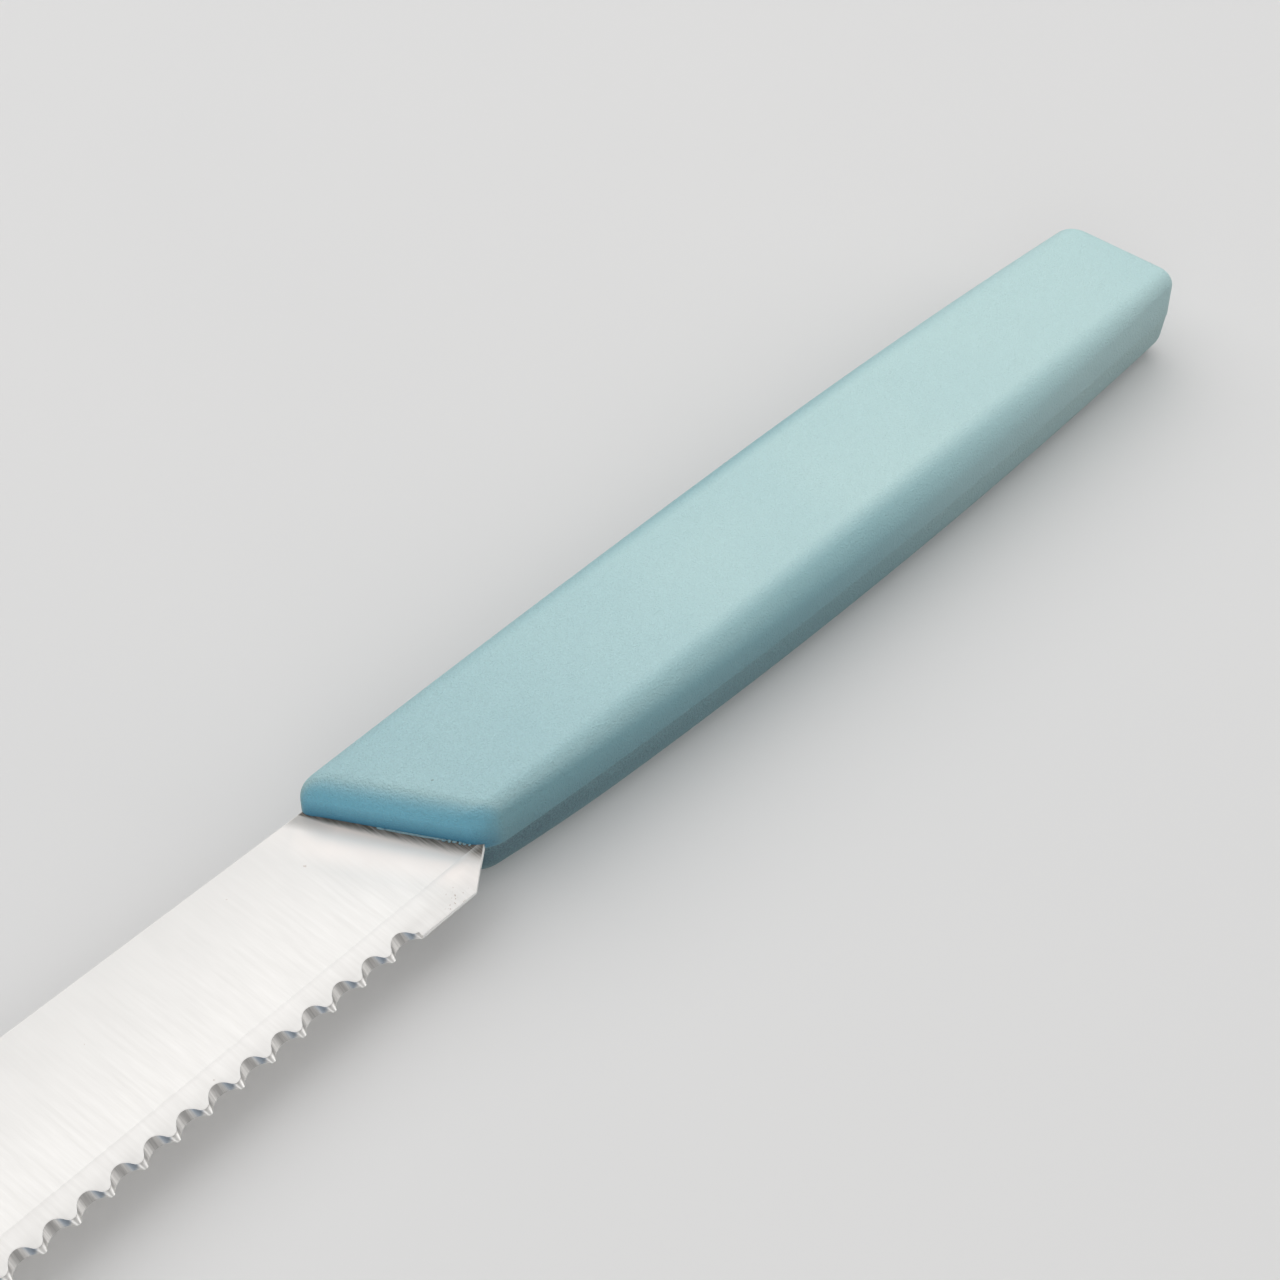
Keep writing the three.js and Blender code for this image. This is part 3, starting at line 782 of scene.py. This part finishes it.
def makeFlash():
    # plastic that has crept out over the steel at the foot of the front wall
    form = flashForm
    bm = bmesh.new()
    corner = Vector((0, 0, bladeForm["thickness"] / 2 + form["lift"]))
    reach = bellyY(-math.tan(slant) * bellyY(0)) / math.cos(slant)
    turn = Matrix((frontAlong, frontWay, (0, 0, 1))).transposed().to_4x4()
    noise.seed_set(form["seed"])   # its noise is shifted at random otherwise
    for share, along, out, up in (form["film"], *form["lumps"]):
        spot = Matrix.Translation(corner + frontAlong * reach * share) @ turn @ Matrix.Diagonal((along, out, up, 1))
        made = bmesh.ops.create_icosphere(bm, subdivisions=form["subdivisions"], radius=1, matrix=spot)["verts"]
        uneven = form["uneven"] * min(1, out / form["calmUnder"])
        for vert in made:   # never down into the steel
            vert.co += uneven * noise.noise_vector(vert.co * form["waves"])
            vert.co.z = max(vert.co.z, corner.z)
    placeInFrame(bm)
    flash = addPiece("mouldFlash", bm, mouldedPlastic)
    softShade(flash, form["crease"])
    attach(flash, "root")
    return flash


handle = makeHandle()
flash = makeFlash()
print("handle:", len(handle.data.polygons), "faces, flash:", len(flash.data.polygons))


# floor, light and camera

studio = {
    "floorPale": (0.84, 0.835, 0.83), "floorBounce": (0.20, 0.20, 0.20),
    "floorGrey": (0.8, 0.8, 0.8), "clouds": 14, "cloudShare": 0.3,
    "floorSize": 4.0, "floorFade": (0.22, 0.9, 0, 1), "floorDrop": 0.05, "floorRoughness": 0.85, "floorGloss": 0.1,
    "skyPale": (0.75, 0.75, 0.75), "skyFill": (0.35, 0.35, 0.35), "skyRise": (0.25, 0.6, 0, 1),
}
lampSet = {
    "mainSoftbox": {"place": (-0.12, -0.31, 0.60), "aim": (-0.03, 0, 0), "size": (1.2, 1.0), "power": 3.75},
    "sideSoftbox": {"place": (-0.55, 0.45, 0.30), "aim": (-0.08, 0, 0), "size": (0.5, 0.5), "power": 0.75},
    "frontSoftbox": {"place": (0.35, 0.35, 0.35), "aim": (0, 0, 0), "size": (0.4, 0.4), "power": 0.5},
}
shot = {
    "place": (0.057958, 0.095272, 0.179305), "turn": (38.051, 0.113, 135.736),
    "lens": 63.816, "sensor": 36, "nearest": 0.01,
}


def seenDirectly(tree):
    # camera, mirror and see-through rays
    rays = addNode(tree, "ShaderNodeLightPath")
    seen = combine(tree, rays.outputs["Is Camera Ray"], rays.outputs["Is Glossy Ray"], "MAXIMUM")
    return combine(tree, seen, rays.outputs["Is Transmission Ray"], "MAXIMUM")


def makeFloor():
    material, tree, shader, coords = startMaterial("paleFloor")
    clouds = remap(tree, noiseAt(tree, coords, studio["clouds"], 2), *noiseSpan, 0, studio["cloudShare"])
    pale = mixColour(tree, clouds, studio["floorPale"], studio["floorGrey"])
    # far off it runs into the sky without a line
    middle = addNode(tree, "ShaderNodeVectorMath", operation="LENGTH")
    tree.links.new(coords, middle.inputs[0])
    far = remap(tree, middle.outputs["Value"], *studio["floorFade"], True)
    seen = seenDirectly(tree)
    near = mixColour(tree, far, pale, (0, 0, 0))
    tree.links.new(mixColour(tree, seen, studio["floorBounce"], near), shader.inputs["Base Color"])
    glow = product(tree, far, seen)
    tree.links.new(mixColour(tree, glow, (0, 0, 0), studio["skyPale"]), shader.inputs["Emission Color"])
    shader.inputs["Emission Strength"].default_value = 1
    shader.inputs["Roughness"].default_value = studio["floorRoughness"]
    shader.inputs["Specular IOR Level"].default_value = studio["floorGloss"]
    bm = bmesh.new()
    bmesh.ops.create_grid(bm, x_segments=4, y_segments=4, size=studio["floorSize"])
    bmesh.ops.translate(bm, vec=(0, 0, cadLow.z - studio["floorDrop"] * mm), verts=bm.verts)
    floor = addPiece("floor", bm, material)


def makeSky():
    world = bpy.data.worlds.new("studioSky")
    bpy.context.scene.world = world
    world.use_nodes = True
    tree = world.node_tree
    background = tree.nodes["Background"]
    way = addNode(tree, "ShaderNodeSeparateXYZ")
    tree.links.new(addNode(tree, "ShaderNodeTexCoord").outputs["Generated"], way.inputs[0])
    high = remap(tree, way.outputs[2], *studio["skyRise"], True)
    pale = mixColour(tree, high, studio["skyPale"], studio["skyFill"])
    tree.links.new(mixColour(tree, seenDirectly(tree), studio["skyFill"], pale), background.inputs["Color"])


def makeLamps():
    for name, lamp in lampSet.items():
        light = bpy.data.lights.new(name, "AREA")
        light.shape = "RECTANGLE"
        light.size, light.size_y = lamp["size"]
        light.energy = lamp["power"]
        item = bpy.data.objects.new(name, light)
        item.location = lamp["place"]
        way = Vector(lamp["aim"]) - Vector(lamp["place"])
        item.rotation_euler = way.to_track_quat("-Z", "Y").to_euler()
        bpy.context.scene.collection.objects.link(item)


def makeCamera():
    lens = bpy.data.cameras.new("camera")
    lens.lens = shot["lens"]
    lens.sensor_width = shot["sensor"]
    lens.clip_start = shot["nearest"]
    camera = bpy.data.objects.new("camera", lens)
    camera.location = shot["place"]
    camera.rotation_euler = [math.radians(angle) for angle in shot["turn"]]
    bpy.context.scene.collection.objects.link(camera)
    bpy.context.scene.camera = camera


makeFloor()
makeSky()
makeLamps()
makeCamera()
bpy.context.scene.view_settings.view_transform = "Standard"
print("studio ready")
